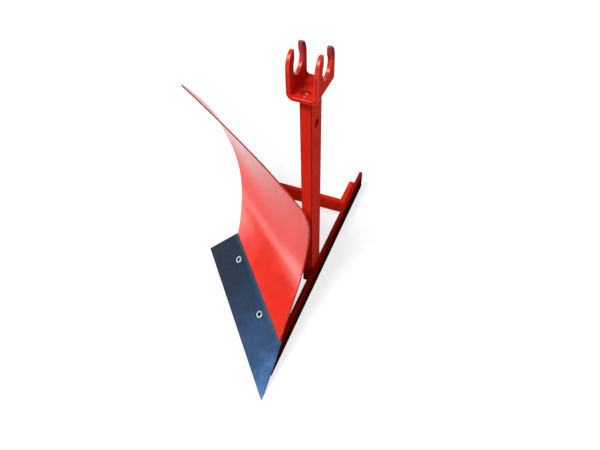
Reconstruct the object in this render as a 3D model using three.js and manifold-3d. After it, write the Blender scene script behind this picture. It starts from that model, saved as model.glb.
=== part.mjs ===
// One-furrow moldboard plough for a light tractor or walking tractor.
// Millimetres, +Z up. The plough travels towards -Y. Its landside faces +X, and the moldboard throws
// the soil towards -X. It is drawn with the landside's outer face at x = 0, the front of the post at
// y = 0 and the ground at z = 0, and the finished group is centred over its own footprint at the end.
import * as THREE from 'three';
import { mergeVertices } from 'three/addons/utils/BufferGeometryUtils.js';
import Module from 'manifold-3d';

const wasm = await Module();
wasm.setup();

// ---------------------------------------------------------------- driving dimensions

// Landside: a flat bar on edge that slides along the furrow wall
const landsideThickness = 7;
const landsideHeight = 42;
const landsideHeelY = 282;      // rear end
const landsideNoseY = -203;     // front end, under the share

// Post: an upright flat bar welded to the inner face of the landside
const postWidth = 18;           // across, along X
const postDepth = 40;           // along the travel direction
const postHeight = 410;
const postHoleDiameter = 13;
const postHoleDrop = 51;        // below the top of the post

// Hitch fork: a plate bent to a U, with an open hook in each cheek
const forkPlate = 6;
const forkInside = 34;          // clear width between the cheeks
const forkDepth = 62;
const forkOverhang = 12;        // how far the fork stands out in front of the post
const forkBendRadius = 5;       // on the inside of the bend
const forkCheekHeight = 65;     // underside of the floor to the tips
const forkCornerRadius = 24;
const hookSetback = 32;         // centre of the hook behind the fork's front edge
const hookSeatDiameter = 32;
const hookSeatHeight = 34;      // centre of the seat above the floor
const hookMouthWidth = 25;
const hookTipFlat = 5;
const rearProngDrop = 4;        // the rear prongs end lower than the front ones
const forkBoltHole = 9;
const forkBoltHead = 14;
const forkBoltSetback = 14;     // hole behind the front edge of the floor

// Share: a flat plate whose lower edge cuts the furrow
const shareTip = new THREE.Vector3(2, -248, 0);
const shareAngle = THREE.MathUtils.degToRad(42.5);    // cutting edge against the travel direction
const shareSlope = THREE.MathUtils.degToRad(38.8);    // plate against the ground
const cuttingEdge = 340;
const shareWidth = 72;          // up the slope
const shareThickness = 6;
const shareWingCut = 20;        // the upper edge stops short of the wing by this
const shareSideRelief = 4;      // the upper corner stands in from the tip, away from the furrow wall
const shareBoltHole = 8.6;
const shareBoltHead = 16.4;
const shareBoltFromTip = 136;   // along the cutting edge
const shareBoltFromWing = 74;
const shareBoltDrop = 19;       // below the upper edge, measured down the slope

// Moldboard: sheet steel bent along level lines that swing outwards as they rise
const sheetThickness = 3;
const twistTop = THREE.MathUtils.degToRad(60.9);      // angle of the level line at guideTop
const twistGain = 1.37;         // above 1, the swing comes mostly near the top
const guideTop = 240;           // height where the guide curve ends
const boardToPost = 2.798;      // from the moldboard's back to the post, where they are nearest
const guideLowerPull = 81;      // how far the guide curve follows the slope of the share
const guideUpperPull = 141;     // how far it runs straight up below its end
const shinHeight = 165;         // straight part of the landside edge
const topCorner = new THREE.Vector2(30, 199.5);       // along and height: end of the rounded corner
const topCornerPull = new THREE.Vector2(18, 17);      // how full that corner is: back along, and up the shin
const topShoulder = new THREE.Vector2(140, 210);      // the top edge is straight from here to the tail
const topEdgePull = new THREE.Vector2(30, 40);        // how the edge eases from the corner to the shoulder
const topEdgeRise = new THREE.Vector2(1, 3.5);
const tailTop = 222.5;
const moldboardLength = 430;    // along the level lines, to the tail's upper corner
const tailTip = 3;              // rounding of that corner
const lowerEdgeStart = 250;     // where the lower edge leaves the share's line
const tailFoot = new THREE.Vector2(386, 120);         // along and height: lower corner of the tail's end
const tailCorner = 14;          // rounding of that corner
const tailHollow = 8;           // how far the tail's end is cut in from a straight slant
const lowerEdgeLift = new THREE.Vector2(0.1, 0.27);   // of the lower edge's run and rise, near the share
const lowerEdgeCrest = new THREE.Vector2(0.6, 0.93);  // and near the tail

// Share seat, rib and pad: the welded frog that carries share and moldboard
const seatThickness = 6;
const seatAheadOfBolts = 74;    // along the cutting edge
const seatPastBolts = 38;
const seatPastRib = 18.480;      // beyond the rear face of the rib, at the seat's upper edge
const seatLower = 24;           // up the slope
const seatOverlap = 22;         // reach behind the foot of the moldboard
const ribThickness = 6;
const ribSetback = 6;           // behind the front of the post
const ribFoot = 22;
const ribTop = 178;
const ribReach = 190;
const padTop = 165;
const padHeight = 45;
const padWidth = 9;             // flush with the post on the furrow side

// Cross brace: a flat bar from the heel of the landside to the back of the moldboard
const braceThickness = 10;
const braceHeight = 27;
const braceTop = 43;             // just above the landside's top
const braceY = 178;             // front face where it leaves the landside
const braceTabLength = 67;      // welded end, measured from the front face
const braceRise = 0.5;          // climb per millimetre across
const braceSweep = 0.4725;      // forward per millimetre across
const braceReach = 195;         // across, to a little past the back of the moldboard

const weldGap = 0.3;            // between neighbouring pieces
const far = 600;                // beyond every piece, for the blocks that cut
const boltSides = 24;
const bendSteps = 8;
const hookSteps = 16;

// ---------------------------------------------------------------- solids and finishes

const paint = (colour) => new THREE.MeshStandardMaterial({ color: colour, roughness: 0.35, metalness: 0.1 });
const redPaint = () => paint(0xc92a14);
const shareSteel = () => new THREE.MeshStandardMaterial({ color: 0x2f4358, roughness: 0.4, metalness: 0.7 });

function solid(geometry, matrix = new THREE.Matrix4()) {
  const bare = geometry.clone();
  bare.deleteAttribute('normal');
  bare.deleteAttribute('uv');
  const merged = mergeVertices(bare.applyMatrix4(matrix), 1e-4);
  return new wasm.Manifold(new wasm.Mesh({
    numProp: 3,
    vertProperties: new Float32Array(merged.attributes.position.array),
    triVerts: new Uint32Array(merged.index.array),
  }));
}

function toMesh(name, body, material) {
  const { vertProperties, triVerts } = body.getMesh();
  const geometry = new THREE.BufferGeometry();
  geometry.setAttribute('position', new THREE.BufferAttribute(vertProperties, 3));
  geometry.setIndex(new THREE.BufferAttribute(triVerts, 1));
  geometry.computeVertexNormals();
  const mesh = new THREE.Mesh(geometry, material);
  mesh.name = name;
  return mesh;
}

// A box between two corners, in the frame that the matrix gives.
function block(low, high, matrix) {
  const size = new THREE.Vector3().subVectors(high, low);
  const centre = new THREE.Vector3().addVectors(low, high).multiplyScalar(0.5);
  const box = new THREE.BoxGeometry(size.x, size.y, size.z).translate(centre.x, centre.y, centre.z);
  return solid(box, matrix);
}

// A flat outline made into a plate: the outline lies in the matrix's XY plane, the plate grows along its Z.
function plate(shape, thickness, matrix, curveSegments = 12) {
  const geometry = new THREE.ExtrudeGeometry(shape, { depth: thickness, bevelEnabled: false, curveSegments });
  return solid(geometry, matrix);
}

// What stays of a piece that its neighbour cuts through.
function largest(body) {
  return body.decompose().reduce((best, one) => (one.volume() > best.volume() ? one : best));
}

const at = (x, y, z) => new THREE.Vector3(x, y, z);
const frameOf = (x, y, z, origin) => new THREE.Matrix4().makeBasis(x, y, z).setPosition(origin);

// ---------------------------------------------------------------- the share's plane

const alongEdge = at(-Math.sin(shareAngle), Math.cos(shareAngle), 0);
const acrossEdge = at(Math.cos(shareAngle), Math.sin(shareAngle), 0);
const upSlope = acrossEdge.clone().multiplyScalar(Math.cos(shareSlope)).add(at(0, 0, Math.sin(shareSlope)));
const shareNormal = new THREE.Vector3().crossVectors(upSlope, alongEdge);
const shareFrame = frameOf(alongEdge, upSlope, shareNormal.clone().negate(), shareTip);
const onShare = (along, up) => at(along, up, 0).applyMatrix4(shareFrame);
const shareBolts = [shareBoltFromTip, cuttingEdge - shareBoltFromWing];

// ---------------------------------------------------------------- the moldboard's surface

// Its landside edge lies in one upright plane, the shin plane, and starts at the share's upper corner.
const shinX = shareTip.x - shareSideRelief;
const shareShinCorner = (shareTip.x + shareWidth * upSlope.x - shinX) / -alongEdge.x;
const shinFoot = onShare(shareShinCorner, shareWidth);
// The guide curve's upright end stands so far ahead that the sheet's back passes in front of the post.
const postFarSide = landsideThickness + weldGap + postWidth;
const guideFront = boardToPost + (postFarSide + shinX) / Math.tan(twistTop)
  + sheetThickness / Math.sin(twistTop);
const slopeInShinPlane = new THREE.Vector2(shareNormal.z, -shareNormal.y).normalize();
const guide = new THREE.CubicBezierCurve(
  new THREE.Vector2(shinFoot.y, shinFoot.z),
  new THREE.Vector2(shinFoot.y, shinFoot.z).addScaledVector(slopeInShinPlane, guideLowerPull),
  new THREE.Vector2(-guideFront, guideTop - guideUpperPull),
  new THREE.Vector2(-guideFront, guideTop),
);

// Where the guide curve stands at one height, by halving its parameter range.
function guideY(height) {
  let low = 0;
  let high = 1;
  for (let step = 0; step < 40; step += 1) {
    const middle = (low + high) / 2;
    if (guide.getPoint(middle).y < height) low = middle;
    else high = middle;
  }
  return guide.getPoint(low).x;
}

// A point on the working face: so far along the level line that leaves the guide at this height.
function onFace(along, height) {
  const climb = (height - shinFoot.z) / (guideTop - shinFoot.z);
  const swing = shareAngle + (twistTop - shareAngle) * Math.max(climb, 0) ** twistGain;
  return at(shinX - along * Math.sin(swing), guideY(height) + along * Math.cos(swing), height);
}

function faceNormal(along, height) {
  const level = onFace(along + 1, height).sub(onFace(along - 1, height));
  const rising = onFace(along, height + 0.5).sub(onFace(along, height - 0.5));
  return new THREE.Vector3().crossVectors(rising, level).normalize();
}

// The outline, in the face's own measures: along the level lines and up.
const foot = shinFoot.z + weldGap;
const lowerRun = tailFoot.x - tailCorner - lowerEdgeStart;
const lowerRise = tailFoot.y - foot;
const tailMiddle = new THREE.Vector2(moldboardLength, tailTop).add(tailFoot).multiplyScalar(0.5);
const lowerEdge = new THREE.Path()
  .moveTo(lowerEdgeStart, foot)
  .bezierCurveTo(
    lowerEdgeStart + lowerEdgeLift.x * lowerRun, foot + lowerEdgeLift.y * lowerRise,
    lowerEdgeStart + lowerEdgeCrest.x * lowerRun, foot + lowerEdgeCrest.y * lowerRise,
    lowerEdgeStart + lowerRun, tailFoot.y,
  )
  .quadraticCurveTo(tailFoot.x, tailFoot.y, tailFoot.x + tailCorner / 5, tailFoot.y + tailCorner)
  .quadraticCurveTo(tailMiddle.x - tailHollow, tailMiddle.y, moldboardLength, tailTop - tailTip);
const upperEdge = new THREE.Path()
  .moveTo(0, shinHeight)
  .bezierCurveTo(
    0, shinHeight + topCornerPull.y,
    topCorner.x - topCornerPull.x, topCorner.y - topEdgeRise.x,
    topCorner.x, topCorner.y,
  )
  .bezierCurveTo(
    topCorner.x + topEdgePull.x, topCorner.y + topEdgeRise.x,
    topShoulder.x - topEdgePull.y, topShoulder.y - topEdgeRise.y,
    topShoulder.x, topShoulder.y,
  )
  .lineTo(moldboardLength - tailTip, tailTop)
  .quadraticCurveTo(moldboardLength, tailTop, moldboardLength, tailTop - tailTip / 2);
const footSteps = 18;
const lowerEdgeSteps = 20;
const rows = 14;

function moldboardGrid() {
  const lower = [];
  for (let i = 0; i < footSteps; i += 1) lower.push(new THREE.Vector2(lowerEdgeStart * i / footSteps, foot));
  lower.push(...lowerEdge.getSpacedPoints(lowerEdgeSteps));
  const upper = upperEdge.getSpacedPoints(lower.length - 1);
  return lower.map((low, i) => {
    const column = [];
    for (let row = 0; row <= rows; row += 1) column.push(low.clone().lerp(upper[i], row / rows));
    return column;
  });
}

// A closed body between two copies of the outline: each copy is moved by its own rule.
function sheetBody(grid, placeFront, placeBack) {
  const columns = grid.length;
  const perColumn = grid[0].length;
  const points = [];
  for (const place of [placeFront, placeBack]) {
    for (const column of grid) {
      for (const spot of column) points.push(...place(spot.x, spot.y).toArray());
    }
  }
  const front = (column, row) => column * perColumn + row;
  const back = (column, row) => columns * perColumn + front(column, row);
  const faces = [];
  const quad = (a, b, c, d) => faces.push(a, b, c, a, c, d);
  for (let i = 0; i + 1 < columns; i += 1) {
    for (let j = 0; j + 1 < perColumn; j += 1) {
      quad(front(i, j), front(i, j + 1), front(i + 1, j + 1), front(i + 1, j));
      quad(back(i, j), back(i + 1, j), back(i + 1, j + 1), back(i, j + 1));
    }
  }
  const last = columns - 1;
  const top = perColumn - 1;
  for (let i = 0; i < last; i += 1) {
    quad(front(i, 0), front(i + 1, 0), back(i + 1, 0), back(i, 0));
    quad(front(i, top), back(i, top), back(i + 1, top), front(i + 1, top));
  }
  for (let j = 0; j < top; j += 1) {
    quad(front(0, j), back(0, j), back(0, j + 1), front(0, j + 1));
    quad(front(last, j), front(last, j + 1), back(last, j + 1), back(last, j));
  }
  const geometry = new THREE.BufferGeometry();
  geometry.setAttribute('position', new THREE.BufferAttribute(new Float32Array(points), 3));
  geometry.setIndex(faces);
  return solid(geometry);
}

const behindFace = (depth) => (along, height) => (
  onFace(along, height).addScaledVector(faceNormal(along, height), -depth)
);

// ---------------------------------------------------------------- room kept for neighbours

const grid = moldboardGrid();
const clearOfSheet = behindFace(sheetThickness + weldGap);
// All that lies in front of the moldboard's back.
const moldboardRoom = sheetBody(grid, (along, height) => clearOfSheet(along, height).add(at(0, -far, 0)),
  clearOfSheet);

const postRight = -landsideThickness - weldGap;
const postLeft = -postFarSide;
// All that lies on the landside's side of its welded neighbours.
const landsideRoom = block(at(postRight, -far, -far), at(far, far, far));

// All that lies above a depth under the share's face, between two heights up its slope.
function roomAboveShare(depth, fromUp, toUp) {
  return block(at(-far, fromUp, -far), at(far, toUp, depth), shareFrame);
}

// ---------------------------------------------------------------- pieces

function makeShare() {
  const outline = new THREE.Shape([
    new THREE.Vector2(0, 0),
    new THREE.Vector2(cuttingEdge, 0),
    new THREE.Vector2(cuttingEdge - shareWingCut, shareWidth),
    new THREE.Vector2(shareShinCorner, shareWidth),
  ]);
  const slab = plate(outline, shareThickness, shareFrame);
  const ground = block(at(-far, -far, -far), at(far, far, 0));
  const furrowWall = block(at(shareTip.x, -far, -far), at(far, far, far));
  return shareBolts.reduce((body, along) => {
    const up = shareWidth - shareBoltDrop;
    return body.subtract(boltHole(shareBoltHole, shareBoltHead, shareThickness, shareFrame, along, up));
  }, slab.subtract(ground).subtract(furrowWall));
}

// A through hole with a countersink that starts at the frame's XY plane and narrows along its Z.
function boltHole(holeDiameter, headDiameter, depth, frame, x, y) {
  const hole = holeDiameter / 2;
  const head = headDiameter / 2;
  const spare = 1;
  const profile = [
    new THREE.Vector2(0, -spare),
    new THREE.Vector2(head + spare, -spare),
    new THREE.Vector2(hole, head - hole),
    new THREE.Vector2(hole, depth + spare),
    new THREE.Vector2(0, depth + spare),
  ];
  const cutter = new THREE.LatheGeometry(profile, boltSides).rotateX(Math.PI / 2).translate(x, y, 0);
  return solid(cutter, frame);
}

const makeMoldboard = () => sheetBody(grid, onFace, behindFace(sheetThickness));

const uprightPlate = (outline, thickness, x) => (
  plate(outline, thickness, frameOf(at(0, 1, 0), at(0, 0, 1), at(1, 0, 0), at(x, 0, 0)))
);

function rectangle(x0, y0, x1, y1) {
  return new THREE.Shape([
    new THREE.Vector2(x0, y0),
    new THREE.Vector2(x1, y0),
    new THREE.Vector2(x1, y1),
    new THREE.Vector2(x0, y1),
  ]);
}

function makeLandside() {
  const bar = uprightPlate(rectangle(landsideNoseY, 0, landsideHeelY, landsideHeight), landsideThickness,
    -landsideThickness);
  return bar.subtract(roomAboveShare(shareThickness + weldGap, -far, far));
}

function makePost() {
  const outline = rectangle(0, 0, postDepth, postHeight);
  const hole = new THREE.Path();
  hole.absarc(postDepth / 2, postHeight - postHoleDrop, postHoleDiameter / 2, 0, 2 * Math.PI, true);
  outline.holes.push(hole);
  return uprightPlate(outline, postWidth, postLeft);
}

// The fork is drawn in its own frame: X across, Y from its front edge back, Z up from the floor's underside.
const forkFrame = new THREE.Matrix4().makeTranslation(
  (postLeft + postRight) / 2, -forkOverhang, postHeight + weldGap,
);

function forkSection() {
  const inner = forkInside / 2;
  const outer = inner + forkPlate;
  const outerRadius = forkBendRadius + forkPlate;
  const section = new THREE.Shape();
  section.moveTo(outer, forkCheekHeight);
  section.lineTo(inner, forkCheekHeight);
  section.lineTo(inner, outerRadius);
  section.absarc(inner - forkBendRadius, outerRadius, forkBendRadius, 0, -Math.PI / 2, true);
  section.lineTo(-inner + forkBendRadius, forkPlate);
  section.absarc(-inner + forkBendRadius, outerRadius, forkBendRadius, -Math.PI / 2, -Math.PI, true);
  section.lineTo(-inner, forkCheekHeight);
  section.lineTo(-outer, forkCheekHeight);
  section.lineTo(-outer, outerRadius);
  section.absarc(-inner + forkBendRadius, outerRadius, outerRadius, -Math.PI, -Math.PI / 2, false);
  section.lineTo(inner - forkBendRadius, 0);
  section.absarc(inner - forkBendRadius, outerRadius, outerRadius, -Math.PI / 2, 0, false);
  return section;
}

// Side view of both cheeks: rounded outer corners, and an open hook from above.
function cheekOutline() {
  const mouth = hookMouthWidth / 2;
  const seat = hookSeatDiameter / 2;
  const seatZ = forkPlate + hookSeatHeight;
  const mouthAngle = Math.acos(mouth / seat);
  const frontTip = hookSetback - mouth - hookTipFlat;
  const rearTip = hookSetback + mouth + hookTipFlat;
  const rearHeight = forkCheekHeight - rearProngDrop;
  const side = new THREE.Shape();
  side.moveTo(0, 0);
  side.lineTo(forkDepth, 0);
  side.lineTo(forkDepth, rearHeight - forkCornerRadius);
  side.quadraticCurveTo(forkDepth, rearHeight - forkCornerRadius / 4, rearTip, rearHeight);
  side.lineTo(hookSetback + mouth, rearHeight);
  side.absarc(hookSetback, seatZ, seat, mouthAngle, Math.PI - mouthAngle, true);
  side.lineTo(hookSetback - mouth, forkCheekHeight);
  side.lineTo(frontTip, forkCheekHeight);
  side.quadraticCurveTo(0, forkCheekHeight - forkCornerRadius / 4, 0, forkCheekHeight - forkCornerRadius);
  return side;
}

function makeHitchFork() {
  const bent = plate(forkSection(), forkDepth,
    frameOf(at(1, 0, 0), at(0, 0, 1), at(0, -1, 0), at(0, forkDepth, 0)), bendSteps);
  const width = forkInside + 4 * forkPlate;
  const sides = plate(cheekOutline(), width,
    frameOf(at(0, 1, 0), at(0, 0, 1), at(1, 0, 0), at(-width / 2, 0, 0)), hookSteps);
  const holeFrame = frameOf(at(1, 0, 0), at(0, -1, 0), at(0, 0, -1), at(0, 0, forkPlate));
  const hole = boltHole(forkBoltHole, forkBoltHead, forkPlate, holeFrame, 0, -forkBoltSetback);
  return bent.intersect(sides).subtract(hole).transform(forkFrame.elements);
}

// The seat lies against the underside of the share and reaches behind the foot of the moldboard.
function makeShareSeat() {
  const seatFrom = Math.min(...shareBolts) - seatAheadOfBolts;
  const upperEdge = shareWidth + seatOverlap;
  const ribOnSeat = (ribSetback + ribThickness - onShare(0, upperEdge).y) / alongEdge.y;
  const seatTo = Math.max(ribOnSeat + seatPastRib, Math.max(...shareBolts) + seatPastBolts);
  const outline = rectangle(seatFrom, seatLower, seatTo, upperEdge);
  const holes = shareBolts.map((along) => {
    const hole = new THREE.Path();
    hole.absarc(along, shareWidth - shareBoltDrop, shareBoltHole / 2, 0, 2 * Math.PI, true);
    return hole;
  });
  outline.holes.push(...holes);
  const slab = plate(outline, seatThickness, shareFrame.clone().multiply(
    new THREE.Matrix4().makeTranslation(0, 0, shareThickness + weldGap),
  ));
  const ground = block(at(-far, -far, -far), at(far, far, weldGap));
  return slab.subtract(landsideRoom).subtract(ground).subtract(moldboardRoom);
}

// An upright rib from the side of the post to the back of the moldboard and the seat.
function makeFrogRib() {
  const web = block(at(postLeft - weldGap - ribReach, ribSetback, ribFoot),
    at(postLeft - weldGap, ribSetback + ribThickness, ribTop));
  const seatDepth = shareThickness + seatThickness + 2 * weldGap;
  return web
    .subtract(moldboardRoom)
    .subtract(roomAboveShare(seatDepth, seatLower - weldGap, shareWidth + seatOverlap + weldGap))
    .subtract(roomAboveShare(shareThickness + weldGap, -far, shareWidth));
}

// A wedge between the front of the post and the back of the moldboard.
function makePostPad() {
  const wedge = block(at(postLeft, -far, padTop - padHeight), at(postLeft + padWidth, -weldGap, padTop));
  return wedge.subtract(moldboardRoom);
}

function makeCrossBrace() {
  const tab = block(
    at(postRight - braceThickness, braceY, braceTop - braceHeight),
    at(postRight, braceY + braceTabLength, braceTop),
  );
  const run = at(-1, -braceSweep, braceRise).normalize();
  const face = at(braceSweep, -1, 0).normalize();
  const up = new THREE.Vector3().crossVectors(run, face);
  const corner = at(postRight - braceThickness, braceY + braceThickness, braceTop);
  const length = braceReach * Math.hypot(1, braceSweep, braceRise);
  const bar = block(at(-braceThickness, 0, -braceHeight), at(length, braceThickness, 0),
    frameOf(run, face, up, corner));
  return largest(tab.add(bar.subtract(landsideRoom)).subtract(moldboardRoom));
}

// ---------------------------------------------------------------- the assembly

const plough = new THREE.Group();
plough.add(
  toMesh('share', makeShare(), shareSteel()),
  toMesh('moldboard', makeMoldboard(), redPaint()),
  toMesh('landside', makeLandside(), redPaint()),
  toMesh('post', makePost(), redPaint()),
  toMesh('hitch_fork', makeHitchFork(), redPaint()),
  toMesh('share_seat', makeShareSeat(), redPaint()),
  toMesh('frog_rib', makeFrogRib(), redPaint()),
  toMesh('post_pad', makePostPad(), redPaint()),
  toMesh('cross_brace', makeCrossBrace(), redPaint()),
);

// Centre the plough over its footprint, with the ground at z = 0.
const extent = new THREE.Box3().setFromObject(plough);
const centre = extent.getCenter(new THREE.Vector3());
plough.position.set(-centre.x, -centre.y, -extent.min.z);

export default plough;
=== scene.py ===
"""A one-furrow moldboard plough: red enamelled steel, a blued share and zinc-plated share bolts.

Lengths are in metres and MM is one millimetre. The plough travels towards -Y and its landside faces +X.
"""
from math import atan2, cos, pi, radians, sin

import bmesh
import bpy
from mathutils import Matrix, Vector
from mathutils.bvhtree import BVHTree


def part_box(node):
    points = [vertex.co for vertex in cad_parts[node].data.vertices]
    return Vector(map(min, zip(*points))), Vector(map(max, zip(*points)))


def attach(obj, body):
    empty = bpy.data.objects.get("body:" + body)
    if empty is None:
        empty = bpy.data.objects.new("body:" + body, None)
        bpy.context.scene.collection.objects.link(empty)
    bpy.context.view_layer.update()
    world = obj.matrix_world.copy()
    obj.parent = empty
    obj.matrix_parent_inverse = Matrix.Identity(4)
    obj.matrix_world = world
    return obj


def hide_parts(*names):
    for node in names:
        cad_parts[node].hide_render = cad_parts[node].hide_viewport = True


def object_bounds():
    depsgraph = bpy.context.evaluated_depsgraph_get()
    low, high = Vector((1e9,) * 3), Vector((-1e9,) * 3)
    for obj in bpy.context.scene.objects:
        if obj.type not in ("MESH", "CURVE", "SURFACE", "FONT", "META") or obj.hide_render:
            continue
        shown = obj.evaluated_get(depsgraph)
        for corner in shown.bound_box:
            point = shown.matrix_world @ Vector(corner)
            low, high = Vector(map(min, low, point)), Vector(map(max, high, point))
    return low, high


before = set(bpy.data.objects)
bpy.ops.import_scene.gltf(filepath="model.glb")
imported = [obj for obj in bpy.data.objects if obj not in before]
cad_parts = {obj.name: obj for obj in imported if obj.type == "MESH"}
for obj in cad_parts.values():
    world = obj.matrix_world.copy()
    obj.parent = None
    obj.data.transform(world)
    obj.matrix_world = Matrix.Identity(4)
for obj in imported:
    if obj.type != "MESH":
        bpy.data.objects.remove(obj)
cad_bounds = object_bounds()

MM = 0.001
SEAM = 0.3 * MM  # the gap that the CAD leaves between two neighbouring pieces


# ---------------------------------------------------------------- where the plough stands

landside_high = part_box("landside")[1]
post_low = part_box("post")[0]
share_low, share_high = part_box("share")


def on_plough(x, y, z):
    """A point in millimetres from the landside's outer face, the front of the post and the ground."""
    return Vector((landside_high.x + x * MM, post_low.y + y * MM, z * MM))


# Millimetres for on_plough: the post stands against the landside and carries the fork.
LANDSIDE_SEAM = -7.2  # in the seam between the landside's inner face and what is welded to it
LANDSIDE_TOP = 42.3
POST_FAR_SIDE = -25.4
POST_MIDDLE = -16.3
POST_DEPTH = 40
POST_TOP = 410
BRACE_FRONT = 177.8
BRACE_BACK = 245.2

fork_screw = on_plough(POST_MIDDLE, 2, 416.3)  # on top of the fork's floor
rear_tips = on_plough(0, 44, 470)              # of the fork's rear prongs, as the side view shows them

# The share is a flat plate: its face is found again from its tip, its angle and its slope.
SHARE_ANGLE = radians(42.5)   # cutting edge against the way of travel
SHARE_SLOPE = radians(38.8)   # plate against the ground
SHARE_WIDTH = 72 * MM         # up the slope
SHARE_THICKNESS = 6 * MM
SHARE_LENGTH = 340 * MM
SHARE_BOLTS = (136 * MM, 266 * MM)  # along the cutting edge from the tip
SHARE_BOLT_UP = 53 * MM

along_edge = Vector((-sin(SHARE_ANGLE), cos(SHARE_ANGLE), 0))
across_edge = Vector((cos(SHARE_ANGLE), sin(SHARE_ANGLE), 0))
up_share = across_edge * cos(SHARE_SLOPE) + Vector((0, 0, sin(SHARE_SLOPE)))
share_out = up_share.cross(along_edge)
share_tip = Vector((share_high.x, share_low.y, 0))
# The share's own measures: x along the cutting edge, y up the slope, z out of the face. These three are
# left-handed, so on_share mirrors what it places.
on_share = Matrix.Translation(share_tip) @ Matrix((along_edge, up_share, share_out)).transposed().to_4x4()


# ---------------------------------------------------------------- materials

def paint(code):
    """An sRGB hex colour as the linear colour that a shader takes."""
    channels = [int(code[i:i + 2], 16) / 255 for i in (1, 3, 5)]
    return (*[c / 12.92 if c <= 0.04045 else ((c + 0.055) / 1.055) ** 2.4 for c in channels], 1)


def add(tree, kind, inputs=None, stops=None, **settings):
    """Adds one node: its settings, the values or links on its inputs, and a ramp's colour stops."""
    node = tree.nodes.new(kind)
    for name, value in settings.items():
        setattr(node, name, value)
    for socket, value in (inputs or {}).items():
        if isinstance(value, bpy.types.NodeSocket):
            tree.links.new(value, node.inputs[socket])
        else:
            node.inputs[socket].default_value = value
    if stops:
        ramp = node.color_ramp
        while len(ramp.elements) < len(stops):
            ramp.elements.new(0.5)
        for element, (where, code) in zip(ramp.elements, stops):
            element.position, element.color = where, paint(code)
    return node


def new_material(name):
    material = bpy.data.materials.new(name)
    material.use_nodes = True
    material.node_tree.nodes.clear()
    return material, material.node_tree


def red_enamel(name, deep, bright, gloss, level, peel_depth=0.25, dark_tips_at=None):
    """Alkyd enamel sprayed on steel: one clear red that clouds a little where the coat is thin or thick,
    with the pebbled skin called orange peel, so its highlights break up softly."""
    material, tree = new_material(name)
    place = add(tree, "ShaderNodeTexCoord").outputs["Object"]
    # coat thickness changes over about 70 mm, with streaks of about 9 mm in it
    clouds = add(tree, "ShaderNodeTexNoise", {"Vector": place, "Scale": 1 / (70 * MM), "Detail": 4,
                                              "Roughness": 0.55})
    red = add(tree, "ShaderNodeValToRGB", {"Fac": clouds.outputs["Fac"]},
              stops=((0.3, deep), (0.7, bright))).outputs["Color"]
    if dark_tips_at:
        # a painted dark reflection on the tips of the rear prongs: they darken to a near-black brown
        side_on = add(tree, "ShaderNodeVectorMath", {0: place, 1: (0, 1, 1)},
                      operation="MULTIPLY").outputs[0]
        away = add(tree, "ShaderNodeVectorMath", {0: side_on, 1: (0, dark_tips_at.y, dark_tips_at.z)},
                   operation="DISTANCE").outputs["Value"]
        rough_edge = add(tree, "ShaderNodeTexNoise", {"Vector": place, "Scale": 1 / (5 * MM), "Detail": 3})
        uneven = add(tree, "ShaderNodeMath", {0: rough_edge.outputs["Fac"], 1: 8 * MM, 2: away},
                     operation="MULTIPLY_ADD").outputs[0]
        tip_shade = add(tree, "ShaderNodeMapRange", {"Value": uneven, "From Min": 7 * MM, "From Max": 26 * MM,
                                                "To Min": 0.9, "To Max": 0.0}).outputs["Result"]
        red = add(tree, "ShaderNodeMix", {0: tip_shade, 6: red, 7: paint("#2C0E0C")},
                  data_type="RGBA").outputs[2]
    # real orange peel is about 1.5 mm across; it is drawn at 3 mm so that it shows
    peel = add(tree, "ShaderNodeTexNoise", {"Vector": place, "Scale": 1 / (3 * MM), "Detail": 2})
    skin = add(tree, "ShaderNodeBump", {"Height": peel.outputs["Fac"], "Strength": peel_depth,
                                       "Distance": 0.12 * MM})
    overspray = add(tree, "ShaderNodeTexNoise", {"Vector": place, "Scale": 1 / (18 * MM), "Detail": 3})
    satin = add(tree, "ShaderNodeMapRange", {"Value": overspray.outputs["Fac"], "From Min": 0.3,
                                             "From Max": 0.7, "To Min": gloss[0], "To Max": gloss[1]})
    body = add(tree, "ShaderNodeBsdfPrincipled", {
        "Base Color": red, "Roughness": satin.outputs["Result"], "IOR": 1.45,
        "Specular IOR Level": level, "Normal": skin.outputs["Normal"]})
    add(tree, "ShaderNodeOutputMaterial", {"Surface": body.outputs["BSDF"]})
    return material


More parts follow.
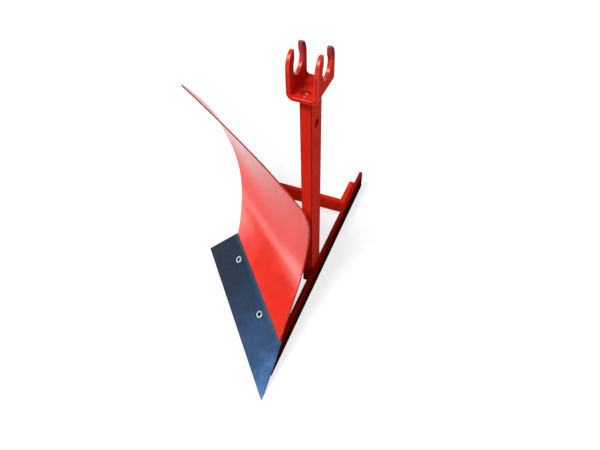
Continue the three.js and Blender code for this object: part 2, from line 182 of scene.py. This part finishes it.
def blued_steel():
    """Hot-rolled share steel, quenched and blued: dark slate at the wing and bluer towards the point,
    clouded by the heat, with the faint streaks of the rolling along its length."""
    material, tree = new_material("blued_share_steel")
    place = add(tree, "ShaderNodeTexCoord").outputs["Object"]
    from_tip = add(tree, "ShaderNodeVectorMath", {0: place, 1: share_tip}, operation="SUBTRACT").outputs[0]
    run = add(tree, "ShaderNodeVectorMath", {0: from_tip, 1: along_edge},
              operation="DOT_PRODUCT").outputs["Value"]
    rise = add(tree, "ShaderNodeVectorMath", {0: from_tip, 1: up_share},
               operation="DOT_PRODUCT").outputs["Value"]
    clouds = add(tree, "ShaderNodeTexNoise", {"Vector": place, "Scale": 1 / (38 * MM), "Detail": 5,
                                              "Roughness": 0.6}).outputs["Fac"]
    # the heat's colour runs from the point to the wing, pushed about by the clouds
    far = add(tree, "ShaderNodeMapRange", {"Value": run, "From Max": SHARE_LENGTH}).outputs["Result"]
    pushed = add(tree, "ShaderNodeMath", {0: clouds, 1: 0.5, 2: far}, operation="MULTIPLY_ADD").outputs[0]
    heat = add(tree, "ShaderNodeValToRGB", {"Fac": pushed}, stops=(
        (0.2, "#527BAF"), (0.45, "#304F77"), (0.8, "#203450"), (1.0, "#1B2A40"))).outputs["Color"]
    # a painted highlight: a paler strip along the upper edge, where the share meets the moldboard
    strip = add(tree, "ShaderNodeMapRange", {"Value": rise, "From Min": SHARE_WIDTH - 9 * MM,
                                             "From Max": SHARE_WIDTH, "To Max": 0.22}).outputs["Result"]
    colour = add(tree, "ShaderNodeMix", {0: strip, 6: heat, 7: paint("#5F8C96")}, data_type="RGBA").outputs[2]
    long_grain = add(tree, "ShaderNodeCombineXYZ", {"X": run, "Y": rise}).outputs["Vector"]
    # the rolling left streaks about 45 mm long and 1.5 mm wide
    stretched = add(tree, "ShaderNodeVectorMath", {0: long_grain, 1: (1 / (45 * MM), 1 / (1.5 * MM), 1)},
                    operation="MULTIPLY").outputs[0]
    rolling = add(tree, "ShaderNodeTexNoise", {"Vector": stretched, "Scale": 1, "Detail": 3}).outputs["Fac"]
    mill_scale = add(tree, "ShaderNodeTexNoise", {"Vector": place, "Scale": 1 / (5 * MM),
                                                  "Detail": 4}).outputs["Fac"]
    dull = add(tree, "ShaderNodeMapRange", {"Value": mill_scale, "From Min": 0.3, "From Max": 0.7,
                                            "To Min": 0.32, "To Max": 0.62}).outputs["Result"]
    height = add(tree, "ShaderNodeMath", {0: rolling, 1: 0.6, 2: mill_scale},
                 operation="MULTIPLY_ADD").outputs[0]
    skin = add(tree, "ShaderNodeBump", {"Height": height, "Strength": 0.3, "Distance": 0.1 * MM})
    body = add(tree, "ShaderNodeBsdfPrincipled", {
        "Base Color": colour, "Metallic": 0.75, "Roughness": dull, "Normal": skin.outputs["Normal"]})
    add(tree, "ShaderNodeOutputMaterial", {"Surface": body.outputs["BSDF"]})
    return material


def shade_finish(name, colours, metallic, roughness, level=0.5):
    """A dark finish for painted shade, as on a sheared edge or inside a hole: its colour changes in
    patches, and fine nicks break up its shine."""
    material, tree = new_material(name)
    place = add(tree, "ShaderNodeTexCoord").outputs["Object"]
    # patches of about 9 mm and nicks of about 2 mm
    patches = add(tree, "ShaderNodeTexNoise", {"Vector": place, "Scale": 1 / (9 * MM), "Detail": 4})
    colour = add(tree, "ShaderNodeValToRGB", {"Fac": patches.outputs["Fac"]},
                 stops=((0.38, colours[0]), (0.62, colours[1])))
    nicks = add(tree, "ShaderNodeTexNoise", {"Vector": place, "Scale": 1 / (2 * MM), "Detail": 2})
    skin = add(tree, "ShaderNodeBump", {"Height": nicks.outputs["Fac"], "Strength": 0.3,
                                       "Distance": 0.1 * MM})
    body = add(tree, "ShaderNodeBsdfPrincipled", {
        "Base Color": colour.outputs["Color"], "Metallic": metallic, "Roughness": roughness,
        "Specular IOR Level": level, "Normal": skin.outputs["Normal"]})
    add(tree, "ShaderNodeOutputMaterial", {"Surface": body.outputs["BSDF"]})
    return material


def bright_zinc():
    """Zinc-plated bolt steel with a pale blue passivation, a little cloudy where it was dipped."""
    material, tree = new_material("blue_passivated_zinc")
    place = add(tree, "ShaderNodeTexCoord").outputs["Object"]
    clouds = add(tree, "ShaderNodeTexNoise", {"Vector": place, "Scale": 1 / (4 * MM), "Detail": 3})
    colour = add(tree, "ShaderNodeValToRGB", {"Fac": clouds.outputs["Fac"]},
                 stops=((0.35, "#8DBBBE"), (0.65, "#B4D4D5")))
    dull = add(tree, "ShaderNodeMapRange", {"Value": clouds.outputs["Fac"], "To Min": 0.28, "To Max": 0.5})
    body = add(tree, "ShaderNodeBsdfPrincipled", {
        "Base Color": colour.outputs["Color"], "Metallic": 0.9, "Roughness": dull.outputs["Result"]})
    add(tree, "ShaderNodeOutputMaterial", {"Surface": body.outputs["BSDF"]})
    return material


def shaded_landside():
    """The landside's outer face: the red is whole under its top edge and darker towards the ground, painted
    shade of the face's shadow side, with streaks along the bar."""
    material, tree = new_material("landside_face_painted_shade")
    place = add(tree, "ShaderNodeTexCoord").outputs["Object"]
    height = add(tree, "ShaderNodeSeparateXYZ", {"Vector": place}).outputs["Z"]
    # painted shade: the face darkens from under its top edge towards the ground
    up = add(tree, "ShaderNodeMapRange", {"Value": height, "From Min": 10 * MM, "From Max": landside_high.z,
                                          "To Min": -0.25, "To Max": 0.75}).outputs["Result"]
    # streaks run along the bar: about 8 mm high and 40 mm long
    bar_streaks = add(tree, "ShaderNodeTexNoise", {
        "Vector": add(tree, "ShaderNodeMapping", {"Vector": place, "Scale": (1, 0.2, 1)}).outputs["Vector"],
        "Scale": 1 / (8 * MM), "Detail": 4}).outputs["Fac"]
    shade_and_streaks = add(tree, "ShaderNodeMath", {0: bar_streaks, 1: 0.5, 2: up}, operation="MULTIPLY_ADD").outputs[0]
    colour = add(tree, "ShaderNodeValToRGB", {"Fac": shade_and_streaks}, stops=(
        (0.25, "#340B08"), (0.6, "#66110A"), (0.95, "#90120B"))).outputs["Color"]
    skin = add(tree, "ShaderNodeBump", {"Height": bar_streaks, "Strength": 0.3, "Distance": 0.1 * MM})
    body = add(tree, "ShaderNodeBsdfPrincipled", {
        "Base Color": colour, "Roughness": 0.85, "Specular IOR Level": 0.0, "Normal": skin.outputs["Normal"]})
    add(tree, "ShaderNodeOutputMaterial", {"Surface": body.outputs["BSDF"]})
    return material


# the moldboard's thick coat is the glossiest, so it mirrors the pale studio in long soft bands
board_red = red_enamel("enamel_moldboard", "#D61F0A", "#E3270E", gloss=(0.15, 0.23), level=0.9,
                       peel_depth=0.1)
# the plates were sprayed thinly: a flat, even red that hardly shines
plate_red = red_enamel("enamel_plates", "#CE1D07", "#DA260B", gloss=(0.7, 0.85), level=0.12)
# the fork's faces are as flat, and its rounded edges catch a soft light
# both fork finishes carry the painted dark reflection on the tips of the rear prongs
fork_flat = red_enamel("enamel_fork_faces", "#CE1D07", "#DA260B", gloss=(0.7, 0.85), level=0.12,
                       dark_tips_at=rear_tips)
fork_red = red_enamel("enamel_fork_edges", "#CE1E06", "#DA280B", gloss=(0.28, 0.4), level=0.5,
                      dark_tips_at=rear_tips)
# a dull, dark red for the landside; on the rounded edges of the post it is painted shade
deep_red = red_enamel("enamel_landside", "#7E0904", "#940D05", gloss=(0.7, 0.8), level=0.1)
landside_shade = shaded_landside()
# painted shade along the moldboard's sheared rim, in brown and dull red patches
edge_red = shade_finish("enamel_rim_painted_shade", ("#96281F", "#C23A30"), 0.0, 0.5, level=0.2)
# painted shade on the wall of the screw hole: a dull brown that is nearly black
hole_dark = shade_finish("hole_painted_shade", ("#380906", "#5C0F09"), 0.0, 0.7, level=0.1)
share_steel = blued_steel()
# painted shade on the share's rounded edges: nearly black, so the share's outline stays sharp against a pale
# floor
edge_steel = shade_finish("share_edge_painted_shade", ("#10161E", "#222C38"), 0.2, 0.7, level=0.1)
zinc = bright_zinc()
# painted shade in the bolts' sockets: dark steel with a dull shine
socket_dark = shade_finish("socket_painted_shade", ("#0E1214", "#1E2426"), 0.6, 0.6)


# ---------------------------------------------------------------- shaping

def to_piece(bm, name, materials, replaces=()):
    """Turns a finished bmesh into a piece that rides on the plough and stands for the named CAD nodes."""
    mesh = bpy.data.meshes.new(name)
    bm.to_mesh(mesh)
    bm.free()
    if "custom_normal" in mesh.attributes:  # a CAD node's own normals don't fit its rounded edges
        mesh.attributes.remove(mesh.attributes["custom_normal"])
    for material in materials:
        mesh.materials.append(material)
    mesh.shade_smooth()
    mesh.set_sharp_from_angle(angle=radians(40))
    piece = bpy.data.objects.new(name, mesh)
    bpy.context.scene.collection.objects.link(piece)
    weighted = piece.modifiers.new("flat_faces_stay_flat", "WEIGHTED_NORMAL")
    weighted.keep_sharp = True
    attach(piece, "root")
    if replaces:
        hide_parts(*replaces)
    return piece


def clean_copy(node):
    """The CAD node's mesh with its corners merged and its flat faces made whole."""
    bm = bmesh.new()
    bm.from_mesh(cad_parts[node].data)
    bmesh.ops.remove_doubles(bm, verts=bm.verts, dist=0.01 * MM)
    bmesh.ops.dissolve_limit(bm, angle_limit=radians(0.6), verts=bm.verts, edges=bm.edges)
    for face in bm.faces:
        face.material_index = 0
    return bm


def round_edges(bm, size, segments=2, sharper_than=35, material=-1):
    """Breaks every edge sharper than an angle in degrees, as grinding and paint do."""
    sharp = [edge for edge in bm.edges if edge.calc_face_angle(0) > radians(sharper_than)]
    bmesh.ops.bevel(bm, geom=sharp, offset=size, segments=segments, profile=0.5, affect="EDGES",
                    material=material, clamp_overlap=True)


def plate_piece(node, rounding, materials, edge_material=-1):
    """A steel plate of the plough; an edge material of 1 gives its rounded edges the second finish."""
    bm = clean_copy(node)
    round_edges(bm, rounding, material=edge_material)
    return to_piece(bm, node + "_plate", materials, (node,))


# the post's rounded edges take the dark red as painted shade
plate_piece("post", 1.5 * MM, [plate_red, deep_red], edge_material=1)
plate_piece("cross_brace", 0.9 * MM, [plate_red])
plate_piece("frog_rib", 0.6 * MM, [plate_red])
plate_piece("share_seat", 0.6 * MM, [plate_red])
plate_piece("post_pad", 0.6 * MM, [plate_red])
plate_piece("share", 1.5 * MM, [share_steel, edge_steel], edge_material=1)


def fork_plate():
    """The bent fork; the wall of the screw hole in its floor has painted shade."""
    floor_top = fork_screw.z
    hole_reach = 7.8 * MM
    bm = clean_copy("hitch_fork")
    round_edges(bm, 1.3 * MM, segments=3, material=1)
    for face in bm.faces:
        centre = face.calc_center_median()
        from_hole = (centre.xy - fork_screw.xy).length
        if abs(face.normal.x) < 0.5 and centre.z > floor_top + 8 * MM:
            face.material_index = 1  # the edges of the prongs
        if from_hole < hole_reach and centre.z < floor_top - 0.2 * MM and abs(face.normal.z) < 0.95:
            face.material_index = 2  # the wall of the screw hole, in painted shade
    return to_piece(bm, "hitch_fork_plate", [fork_flat, fork_red, hole_dark], ("hitch_fork",))


fork_plate()


def landside_bar():
    """The bar on edge: its outer face, which slides along the furrow wall, has painted shade that darkens it
    towards the ground.
    """
    bm = clean_copy("landside")
    round_edges(bm, 0.8 * MM)
    for face in bm.faces:
        face.material_index = 1 if face.normal.x > 0.6 else 0
    return to_piece(bm, "landside_bar", [deep_red, landside_shade], ("landside",))


landside_bar()


def moldboard_sheet():
    """The bent sheet: its triangles are made quads again, and its sheared rim has painted shade."""
    bm = bmesh.new()
    bm.from_mesh(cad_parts["moldboard"].data)
    bmesh.ops.remove_doubles(bm, verts=bm.verts, dist=0.01 * MM)
    bmesh.ops.join_triangles(bm, faces=bm.faces, angle_face_threshold=radians(20),
                             angle_shape_threshold=radians(80))
    sharp = {edge for edge in bm.edges if edge.calc_face_angle(0) > radians(50)}
    rim = {vert for edge in sharp for vert in edge.verts}
    for face in bm.faces:
        face.material_index = 1 if rim.issuperset(face.verts) else 0
    round_edges(bm, 0.5 * MM, sharper_than=50, material=1)
    return to_piece(bm, "moldboard_sheet", [board_red, edge_red], ("moldboard",))


moldboard_sheet()


# ---------------------------------------------------------------- share bolts

# Bolts and nuts are turned about the z axis at the origin and then set in their place.
RING_SEGMENTS = 48


def ring_edges(ring):
    return list(dict.fromkeys(edge for vert in ring for edge in vert.link_edges))


def round_ring(bm, radius, height):
    ring = bmesh.ops.create_circle(bm, segments=RING_SEGMENTS, radius=radius)["verts"]
    bmesh.ops.translate(bm, verts=ring, vec=(0, 0, height))
    return ring_edges(ring)


def hex_ring(bm, across_flats, height):
    """A round ring pressed to a hexagon, so that it still bridges to a round one."""
    ring = bmesh.ops.create_circle(bm, segments=RING_SEGMENTS, radius=across_flats / 2)["verts"]
    for vert in ring:
        vert.co /= cos(atan2(vert.co.y, vert.co.x) % (pi / 3) - pi / 6)
        vert.co.z = height
    return ring_edges(ring)


def join_rings(bm, rings):
    for upper, lower in zip(rings, rings[1:]):
        bmesh.ops.bridge_loops(bm, edges=upper + lower)


def close_ring(bm, ring, sink=0, material=0):
    """Fills a ring with one face; a sink pushes that face down into a socket with its own finish."""
    face = bmesh.ops.holes_fill(bm, edges=ring, sides=0)["faces"][0]
    face.material_index = material
    if sink:
        bottom = bmesh.ops.extrude_discrete_faces(bm, faces=[face])["faces"][0]
        bmesh.ops.translate(bm, verts=list(bottom.verts), vec=(0, 0, -sink))
        for edge in bottom.edges:
            for near in edge.link_faces:
                near.material_index = material


def set_in_place(bm, place, name, materials):
    """Moves a bolt or nut to its place, and turns its faces outwards after that."""
    bmesh.ops.transform(bm, matrix=place, verts=bm.verts)
    bmesh.ops.recalc_face_normals(bm, faces=bm.faces)
    to_piece(bm, name, materials)


def share_bolt(number, along):
    """Countersunk bolt with a hexagon socket, its washer and its nut under the seat."""
    place = on_share @ Matrix.Translation((along, SHARE_BOLT_UP, 0))
    top = -0.6 * MM  # the head lies a little under the share's face
    head_radius = 6.8 * MM
    shank_radius = 4 * MM
    socket_flats = 6.6 * MM
    socket_depth = 3.6 * MM
    tip = -24 * MM
    bm = bmesh.new()
    rings = [hex_ring(bm, socket_flats, top)] + [round_ring(bm, radius, height) for radius, height in (
        (4.2 * MM, top), (head_radius - 0.5 * MM, top), (head_radius, top - 0.4 * MM),
        (head_radius, top - 0.9 * MM), (shank_radius, top - 4.4 * MM), (shank_radius, tip + 1 * MM),
        (shank_radius - 0.8 * MM, tip))]
    join_rings(bm, rings)
    close_ring(bm, rings[-1])
    # the socket's walls and floor take the painted shade
    close_ring(bm, rings[0], socket_depth, 1)
    set_in_place(bm, place, f"share_bolt_{number}", [zinc, socket_dark])

    under_seat = -2 * SHARE_THICKNESS - SEAM  # the seat is as thick as the share
    washer_back = under_seat - 1.6 * MM
    washer_bore = 4.3 * MM
    washer_radius = 8.2 * MM
    bm = bmesh.new()
    washer = [round_ring(bm, radius, height) for radius, height in (
        (washer_bore, under_seat), (washer_radius, under_seat),
        (washer_radius, washer_back), (washer_bore, washer_back))]
    join_rings(bm, washer + washer[:1])

    nut_face = washer_back - 0.1 * MM
    nut_back = nut_face - 6.5 * MM
    nut_bore = 4.1 * MM
    nut_flats = 13 * MM
    nut = [round_ring(bm, nut_bore, nut_face), hex_ring(bm, nut_flats - 0.6 * MM, nut_face),
           hex_ring(bm, nut_flats, nut_face - 0.5 * MM), hex_ring(bm, nut_flats, nut_back + 0.8 * MM),
           hex_ring(bm, nut_flats - 1.2 * MM, nut_back), round_ring(bm, nut_bore, nut_back)]
    join_rings(bm, nut + nut[:1])
    set_in_place(bm, place, f"share_nut_{number}", [zinc])


for number, along in enumerate(SHARE_BOLTS, 1):
    share_bolt(number, along)


def floor_screw():
    """The sunk screw in the floor of the fork, painted with it, so its socket is half filled."""
    below_floor = 0.9 * MM
    bm = bmesh.new()
    rings = [round_ring(bm, radius * MM, height * MM) for radius, height in (
        (0.6, -2.2), (2.2, -2.1), (2.9, -1.4), (3.2, -0.3),  # the socket under its paint
        (3.6, 0), (5.0, -0.1), (5.4, -0.5),                  # the top of the head
        (3.7, -2.6), (3.7, -4.5))]                           # the countersink and the shank
    join_rings(bm, rings)
    close_ring(bm, rings[0])
    close_ring(bm, rings[-1])
    place = Matrix.Translation(fork_screw - Vector((0, 0, below_floor)))
    set_in_place(bm, place, "fork_floor_screw", [fork_red])


floor_screw()


# ---------------------------------------------------------------- weld beads

RIPPLE = 2.2 * MM      # from one ripple of a bead to the next
BEAD_STEP = 0.55 * MM  # four steps to a ripple


def lay_bead(bm, path, radius):
    """Sweeps a ring along a path in short steps; it swells once a ripple and tapers at both ends."""
    points = [path[0]]
    for start, end in zip(path, path[1:]):
        steps = max(1, round((end - start).length / BEAD_STEP))
        points += [start.lerp(end, (step + 1) / steps) for step in range(steps)]
    frames = []
    run = 0
    side = (points[1] - points[0]).orthogonal().normalized()
    for i, point in enumerate(points):
        ahead = (points[min(i + 1, len(points) - 1)] - points[max(i - 1, 0)]).normalized()
        side = (side - ahead * side.dot(ahead)).normalized()
        if i:
            run += (point - points[i - 1]).length
        swell = 0.88 + 0.12 * abs(sin(pi * run / RIPPLE))
        from_end = min(i, len(points) - 1 - i) * BEAD_STEP
        taper = min(1, 0.45 + from_end / (2 * radius))
        axes = Matrix((side, ahead.cross(side), ahead)).transposed().to_4x4()
        frames.append(Matrix.Translation(point) @ axes @ Matrix.Scale(swell * taper, 4))
    ring = bmesh.ops.create_circle(bm, segments=12, radius=radius)["verts"]
    bmesh.ops.transform(bm, matrix=frames[0], verts=ring)
    first = edges = ring_edges(ring)
    for before, after in zip(frames, frames[1:]):
        made = bmesh.ops.extrude_edge_only(bm, edges=edges)["geom"]
        verts = [part for part in made if isinstance(part, bmesh.types.BMVert)]
        ring_verts = set(verts)
        edges = [part for part in made if isinstance(part, bmesh.types.BMEdge)
                 and part.verts[0] in ring_verts and part.verts[1] in ring_verts]
        bmesh.ops.transform(bm, matrix=after @ before.inverted(), verts=verts)
    bmesh.ops.holes_fill(bm, edges=first + edges, sides=0)


def weld(name, paths, radius):
    """One piece of weld, with a bead along each path."""
    bm = bmesh.new()
    for path in paths:
        lay_bead(bm, path, radius)
    bmesh.ops.recalc_face_normals(bm, faces=bm.faces)
    return to_piece(bm, name, [plate_red])


def seam_bead(start, end):
    """A bead's path in the landside's seam, from one (back, up) in millimetres to another."""
    return [on_plough(LANDSIDE_SEAM, *start), on_plough(LANDSIDE_SEAM, *end)]


def cad_surface(node):
    """A CAD node's surface, ready to be asked for its nearest point."""
    bm = bmesh.new()
    bm.from_mesh(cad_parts[node].data)
    tree = BVHTree.FromBMesh(bm)
    bm.free()
    return tree


def cut_edges(node, neighbour):
    """Chains of a node's sharp edges that lie against its neighbour, longest first."""
    reach = 0.8 * MM
    bm = clean_copy(node)
    other = cad_surface(neighbour)
    near = {vert for vert in bm.verts if other.find_nearest(vert.co, reach)[0] is not None}
    edges = dict.fromkeys(edge for edge in bm.edges if edge.calc_face_angle(0) > radians(35)
                          and edge.verts[0] in near and edge.verts[1] in near)
    chains = []
    while edges:
        edge = edges.popitem()[0]
        chain = [edge.verts[0], edge.verts[1]]
        grew = True
        while grew:
            grew = False
            for end in (0, -1):
                for more in chain[end].link_edges:
                    if more in edges:
                        edges.pop(more)
                        other_end = more.other_vert(chain[end])
                        chain = [other_end] + chain if end == 0 else chain + [other_end]
                        grew = True
                        break
        chains.append([vert.co.copy() for vert in chain])
    bm.free()
    return sorted(chains, key=lambda chain: -sum((b - a).length for a, b in zip(chain, chain[1:])))


weld("post_foot_welds", [
    seam_bead((2, LANDSIDE_TOP), (POST_DEPTH - 2, LANDSIDE_TOP)),
    seam_bead((-0.1, 4), (-0.1, 40)),
    seam_bead((POST_DEPTH + 0.1, 4), (POST_DEPTH + 0.1, 40)),
], 2.4 * MM)
weld("fork_welds", [
    [on_plough(-24, -0.2, POST_TOP), on_plough(-8.5, -0.2, POST_TOP)],
    seam_bead((1.5, POST_TOP), (POST_DEPTH - 1.5, POST_TOP)),
    [on_plough(-8.5, POST_DEPTH + 0.2, POST_TOP), on_plough(-24, POST_DEPTH + 0.2, POST_TOP)],
    [on_plough(POST_FAR_SIDE, POST_DEPTH - 1.5, POST_TOP), on_plough(POST_FAR_SIDE, 1.5, POST_TOP)],
], 2.4 * MM)
weld("brace_heel_welds", [
    seam_bead((BRACE_FRONT + 4.2, 16), (BRACE_BACK - 3.2, 16)),
    seam_bead((BRACE_BACK, 18), (BRACE_BACK, 40)),
    seam_bead((BRACE_FRONT, 18), (BRACE_FRONT, 40)),
], 2.2 * MM)
weld("brace_board_weld", cut_edges("cross_brace", "moldboard")[:2], 2.2 * MM)
weld("rib_board_welds", cut_edges("frog_rib", "moldboard")[:2], 2 * MM)
weld("pad_board_welds", cut_edges("post_pad", "moldboard")[:3], 1.8 * MM)


# ---------------------------------------------------------------- floor, light and camera

def lit_white(name, bounce, shown, glow):
    """Matt white floor paint: it looks nearly white to the eye and in reflections, keeps the plough's
    shadow, and throws less light back up at the plough than it seems to."""
    material, tree = new_material(name)
    light_path = add(tree, "ShaderNodeLightPath").outputs
    seen = add(tree, "ShaderNodeMath", {0: light_path["Is Camera Ray"], 1: light_path["Is Glossy Ray"]},
               operation="MAXIMUM").outputs[0]
    seen = add(tree, "ShaderNodeMath", {0: seen, 1: light_path["Is Transmission Ray"]},
               operation="MAXIMUM").outputs[0]
    plain = add(tree, "ShaderNodeBsdfDiffuse", {"Color": paint(bounce)})
    pale = add(tree, "ShaderNodeBsdfDiffuse", {"Color": paint(shown)})
    shine = add(tree, "ShaderNodeEmission", {"Color": (1, 1, 1, 1), "Strength": glow})
    both = add(tree, "ShaderNodeAddShader", {0: pale.outputs[0], 1: shine.outputs[0]})
    mixed = add(tree, "ShaderNodeMixShader", {0: seen, 1: plain.outputs[0], 2: both.outputs[0]})
    add(tree, "ShaderNodeOutputMaterial", {"Surface": mixed.outputs[0]})
    return material


def lay_floor():
    bm = bmesh.new()
    bmesh.ops.create_grid(bm, x_segments=4, y_segments=4, size=4)  # reaches 4 m each way
    mesh = bpy.data.meshes.new("studio_floor")
    bm.to_mesh(mesh)
    bm.free()
    mesh.materials.append(lit_white("pale_floor", "#969696", "#989898", 0.75))
    floor = bpy.data.objects.new("studio_floor", mesh)
    bpy.context.scene.collection.objects.link(floor)


lay_floor()


def hang_lamp(name, position, target, width, height, power):
    """A rectangular softbox of so many metres and watts, turned to its target."""
    lamp = bpy.data.lights.new(name, "AREA")
    lamp.shape = "RECTANGLE"
    lamp.size = width
    lamp.size_y = height
    lamp.energy = power
    holder = bpy.data.objects.new(name, lamp)
    holder.location = position
    holder.rotation_euler = (target - position).to_track_quat("-Z", "Y").to_euler()
    bpy.context.scene.collection.objects.link(holder)


def hang_key(towards_lamp, strength, softness):
    """The main light, even over the whole floor, as soft as a lamp that looks so many degrees wide."""
    lamp = bpy.data.lights.new("key", "SUN")
    lamp.energy = strength
    lamp.angle = radians(softness)
    holder = bpy.data.objects.new("key", lamp)
    holder.rotation_euler = (-towards_lamp).to_track_quat("-Z", "Y").to_euler()
    bpy.context.scene.collection.objects.link(holder)


middle = (cad_bounds[0] + cad_bounds[1]) / 2
lower_board = on_plough(-195, 130, 66)
hang_key(towards_lamp=Vector((-0.28, -0.52, 0.81)), strength=2.95, softness=20)
# lamps for the faces that the key leaves dark
hang_lamp("right_fill", on_plough(440, -90, 330), on_plough(-16, 20, 330), 0.3, 0.3, 0.8)
hang_lamp("fork_lamp", on_plough(-60, -250, 900), on_plough(-16, 20, 420), 0.15, 0.15, 0.35)
hang_lamp("tail_fill", on_plough(-700, -300, 60), on_plough(-260, 120, 190), 0.4, 0.4, 0.8)
hang_lamp("back_fill", on_plough(-500, 1500, 900), middle, 1.2, 1.2, 6)
# low lamps off to the side, which the moldboard's gloss shows as soft bands
hang_lamp("left_softbox", middle + Vector((-2.0, -0.2, -0.13)), middle, 2.4, 0.34, 5.4)
hang_lamp("side_strip", lower_board + 1.9 * Vector((-0.98, 0.01, 0.19)), lower_board, 0.2, 0.2, 1.2)

world = bpy.data.worlds.new("studio_air")
bpy.context.scene.world = world
world.use_nodes = True
world.node_tree.nodes.clear()
air = world.node_tree
rays = add(air, "ShaderNodeLightPath").outputs
mirrored = add(air, "ShaderNodeMath", {0: rays["Is Glossy Ray"], 1: rays["Is Transmission Ray"]},
               operation="MAXIMUM").outputs[0]
# in reflections the white sweep ends a little above the horizon, under the darker ceiling of the studio
height = add(air, "ShaderNodeSeparateXYZ", {
    "Vector": add(air, "ShaderNodeTexCoord").outputs["Generated"]}).outputs["Z"]
sweep = add(air, "ShaderNodeMapRange", {
    "Value": height, "From Min": -0.02, "From Max": 0.1, "To Min": 1.0, "To Max": 0.15},
    interpolation_type="SMOOTHSTEP").outputs["Result"]
unseen = add(air, "ShaderNodeMix", {0: mirrored, 2: 0.14, 3: sweep}, data_type="FLOAT").outputs[0]
strength = add(air, "ShaderNodeMix", {0: rays["Is Camera Ray"], 2: unseen, 3: 1.0},
               data_type="FLOAT").outputs[0]
glow = add(air, "ShaderNodeBackground", {"Color": (1, 1, 1, 1), "Strength": strength})
add(air, "ShaderNodeOutputWorld", {"Surface": glow.outputs[0]})

turned_left, looks_down, rolled = 23.32, 48.15, -1.51  # degrees, from level and facing along +Y
camera = bpy.data.cameras.new("camera")
camera.sensor_width = 36
camera.lens = 32.005
camera_holder = bpy.data.objects.new("camera", camera)
camera_holder.matrix_world = (
    Matrix.Translation(on_plough(209.94, -553.77, 826.62))
    @ Matrix.Rotation(radians(turned_left), 4, "Z")
    @ Matrix.Rotation(radians(90 - looks_down), 4, "X")
    @ Matrix.Rotation(radians(rolled), 4, "Z"))
bpy.context.scene.collection.objects.link(camera_holder)
bpy.context.scene.camera = camera_holder
bpy.context.scene.view_settings.view_transform = "Standard"
